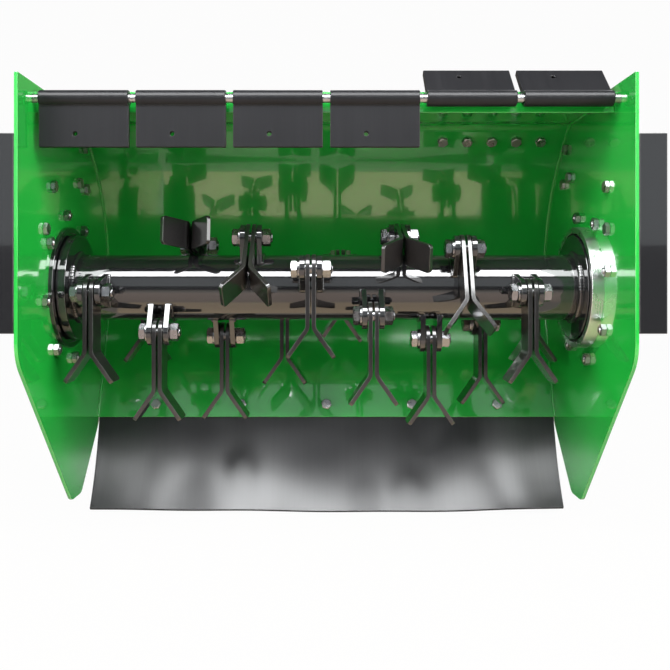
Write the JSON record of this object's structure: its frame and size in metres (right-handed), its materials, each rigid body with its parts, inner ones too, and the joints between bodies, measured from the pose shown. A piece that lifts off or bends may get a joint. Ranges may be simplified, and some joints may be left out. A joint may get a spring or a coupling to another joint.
{
  "type": "flail mower deck",
  "caption": "Welded mower deck with a tubular rotor, swinging Y-shaped flail blades on bolts, rubber flaps, hitch cheeks, bevel gearbox and belt drive.",
  "frame": {"origin": "centre of the hitch pin line, midway between the two hitch cheeks behind the deck", "axes": "+X along the rotor towards the belt drive, +Z towards the deck's front edge (up, with the deck tipped on its tail), -Y out of the mouth that faces the ground in work"},
  "size_m": [0.913, 0.619, 0.685],
  "materials": {
    "green_paint": "glossy",
    "black_paint": "glossy",
    "blade_steel": "satin, worn at the edges",
    "aluminium": "as cast and turned",
    "zinc_steel": "zinc plated",
    "bright_steel": "ground",
    "cast_iron": "machined",
    "bronze": "turned",
    "flap_rubber": "satin",
    "belt_rubber": "matt"
  },
  "bodies": {
    "deck": {"bearing_caps": "aluminium", "bearing_outer_rings": "bright_steel", "belt_backplate": "black_paint", "belt_cover": "green_paint", "belt_cover_bolts": "zinc_steel", "case_bolts": "zinc_steel", "cross_shaft_bush": "bronze", "cross_shaft_tube": "green_paint", "flange_bolts": "zinc_steel", "front_flap_rod": "zinc_steel", "front_rail": "green_paint", "gearbox_case": "aluminium", "gearbox_cover": "aluminium", "hitch_cheeks": "black_paint", "housing_shell": "green_paint", "idler_bracket": "black_paint", "left_bearing_housing": "black_paint", "left_side_plate": "green_paint", "outer_brackets": "black_paint", "rear_flap": "flap_rubber", "rear_flap_bolts": "zinc_steel", "rear_flap_strip": "black_paint", "right_bearing_housing": "aluminium", "right_side_plate": "green_paint", "side_skids": "black_paint", "v_belts": "belt_rubber"},
    "rotor": {"rotor_tube": "black_paint", "rotor_lugs": "black_paint", "rotor_journals": "black_paint", "flail_bolts": "zinc_steel", "bearing_inner_rings": "bright_steel", "bearing_balls": "bright_steel", "driven_pulley": "cast_iron"},
    "cross_drive": {"cross_shaft": "bright_steel", "cross_gear": "bright_steel", "drive_pulley": "cast_iron"},
    "input_drive": {"input_shaft": "bright_steel"},
    "idler": {"idler_pulley": "cast_iron"},
    "flail_pair_01": {"flail_01": "blade_steel"},
    "flail_pair_02": {"flail_02": "blade_steel"},
    "flail_pair_03": {"flail_03": "blade_steel"},
    "flail_pair_04": {"flail_04": "blade_steel"},
    "flail_pair_05": {"flail_05": "blade_steel"},
    "flail_pair_06": {"flail_06": "blade_steel"},
    "flail_pair_07": {"flail_07": "blade_steel"},
    "flail_pair_08": {"flail_08": "blade_steel"},
    "flail_pair_09": {"flail_09": "blade_steel"},
    "flail_pair_10": {"flail_10": "blade_steel"},
    "flail_pair_11": {"flail_11": "blade_steel"},
    "flail_pair_12": {"flail_12": "blade_steel"},
    "flail_pair_13": {"flail_13": "blade_steel"},
    "flail_pair_14": {"flail_14": "blade_steel"},
    "flail_pair_15": {"flail_15": "blade_steel"},
    "flail_pair_16": {"flail_16": "blade_steel"},
    "flap_1": {"front_flap_1": "flap_rubber"},
    "flap_2": {"front_flap_2": "flap_rubber"},
    "flap_3": {"front_flap_3": "flap_rubber"},
    "flap_4": {"front_flap_4": "flap_rubber"},
    "flap_5": {"front_flap_5": "flap_rubber"},
    "flap_6": {"front_flap_6": "flap_rubber"}
  },
  "joints": [
    {"name": "rotor_spin", "type": "hinge", "parent": "deck", "child": "rotor", "pos_m": [0, -0.345, 0.15], "axis": [1, 0, 0], "continuous": true},
    {"name": "cross_shaft_spin", "type": "hinge", "parent": "deck", "child": "cross_drive", "pos_m": [0, -0.045, 0.15], "axis": [1, 0, 0], "continuous": true},
    {"name": "input_spin", "type": "hinge", "parent": "deck", "child": "input_drive", "pos_m": [0, -0.045, 0.15], "axis": [0, 0, 1], "continuous": true},
    {"name": "idler_spin", "type": "hinge", "parent": "deck", "child": "idler", "pos_m": [0.45, -0.197, 0.18205], "axis": [1, 0, 0], "continuous": true},
    {"name": "flail_01_swing", "type": "hinge", "parent": "rotor", "child": "flail_pair_01", "pos_m": [-0.34125, -0.42463, 0.14233], "axis": [1, 0, 0], "range_deg": [-199, 30]},
    {"name": "flail_02_swing", "type": "hinge", "parent": "rotor", "child": "flail_pair_02", "pos_m": [-0.29575, -0.26537, 0.15767], "axis": [1, 0, 0], "range_deg": [-19, 210]},
    {"name": "flail_03_swing", "type": "hinge", "parent": "rotor", "child": "flail_pair_03", "pos_m": [-0.25025, -0.38865, 0.08296], "axis": [1, 0, 0], "range_deg": [-148, 52]},
    {"name": "flail_04_swing", "type": "hinge", "parent": "rotor", "child": "flail_pair_04", "pos_m": [-0.20475, -0.30134, 0.21704], "axis": [1, 0, 0], "range_deg": [-230, 0]},
    {"name": "flail_05_swing", "type": "hinge", "parent": "rotor", "child": "flail_pair_05", "pos_m": [-0.15925, -0.31981, 0.07407], "axis": [1, 0, 0], "range_deg": [-96, 133]},
    {"name": "flail_06_swing", "type": "hinge", "parent": "rotor", "child": "flail_pair_06", "pos_m": [-0.11375, -0.37019, 0.22593], "axis": [1, 0, 0], "range_deg": [-230, 0]},
    {"name": "flail_07_swing", "type": "hinge", "parent": "rotor", "child": "flail_pair_07", "pos_m": [-0.06825, -0.26993, 0.12236], "axis": [1, 0, 0], "range_deg": [-45, 184]},
    {"name": "flail_08_swing", "type": "hinge", "parent": "rotor", "child": "flail_pair_08", "pos_m": [-0.02275, -0.42007, 0.17764], "axis": [1, 0, 0], "range_deg": [-225, 4]},
    {"name": "flail_09_swing", "type": "hinge", "parent": "rotor", "child": "flail_pair_09", "pos_m": [0.02275, -0.27658, 0.19146], "axis": [1, 0, 0], "range_deg": [0, 230]},
    {"name": "flail_10_swing", "type": "hinge", "parent": "rotor", "child": "flail_pair_10", "pos_m": [0.06825, -0.41342, 0.10854], "axis": [1, 0, 0], "range_deg": [-136, 56]},
    {"name": "flail_11_swing", "type": "hinge", "parent": "rotor", "child": "flail_pair_11", "pos_m": [0.11375, -0.33476, 0.22934], "axis": [1, 0, 0], "range_deg": [-230, 0]},
    {"name": "flail_12_swing", "type": "hinge", "parent": "rotor", "child": "flail_pair_12", "pos_m": [0.15925, -0.35524, 0.07066], "axis": [1, 0, 0], "range_deg": [-86, 107]},
    {"name": "flail_13_swing", "type": "hinge", "parent": "rotor", "child": "flail_pair_13", "pos_m": [0.20475, -0.40064, 0.20748], "axis": [1, 0, 0], "range_deg": [-230, 0]},
    {"name": "flail_14_swing", "type": "hinge", "parent": "rotor", "child": "flail_pair_14", "pos_m": [0.25025, -0.28936, 0.09252], "axis": [1, 0, 0], "range_deg": [-50, 159]},
    {"name": "flail_15_swing", "type": "hinge", "parent": "rotor", "child": "flail_pair_15", "pos_m": [0.29575, -0.42463, 0.14233], "axis": [1, 0, 0], "range_deg": [-199, 30]},
    {"name": "flail_16_swing", "type": "hinge", "parent": "rotor", "child": "flail_pair_16", "pos_m": [0.34125, -0.26537, 0.15767], "axis": [1, 0, 0], "range_deg": [-19, 210]},
    {"name": "front_flap_1_swing", "type": "hinge", "parent": "deck", "child": "flap_1", "pos_m": [-0.33, -0.495, 0.40799], "axis": [1, 0, 0], "range_deg": [-223, 40]},
    {"name": "front_flap_2_swing", "type": "hinge", "parent": "deck", "child": "flap_2", "pos_m": [-0.198, -0.495, 0.40799], "axis": [1, 0, 0], "range_deg": [-223, 40]},
    {"name": "front_flap_3_swing", "type": "hinge", "parent": "deck", "child": "flap_3", "pos_m": [-0.066, -0.495, 0.40799], "axis": [1, 0, 0], "range_deg": [-223, 40]},
    {"name": "front_flap_4_swing", "type": "hinge", "parent": "deck", "child": "flap_4", "pos_m": [0.066, -0.495, 0.40799], "axis": [1, 0, 0], "range_deg": [-223, 40]},
    {"name": "front_flap_5_swing", "type": "hinge", "parent": "deck", "child": "flap_5", "pos_m": [0.198, -0.495, 0.40799], "axis": [1, 0, 0], "range_deg": [0, 264]},
    {"name": "front_flap_6_swing", "type": "hinge", "parent": "deck", "child": "flap_6", "pos_m": [0.33, -0.495, 0.40799], "axis": [1, 0, 0], "range_deg": [0, 264]}
  ],
  "couplings": [
    {"joint": "cross_shaft_spin", "follows": "rotor_spin", "ratio": 0.66667},
    {"joint": "input_spin", "follows": "rotor_spin", "ratio": 0.66667},
    {"joint": "idler_spin", "follows": "rotor_spin", "ratio": 1.9231}
  ]
}
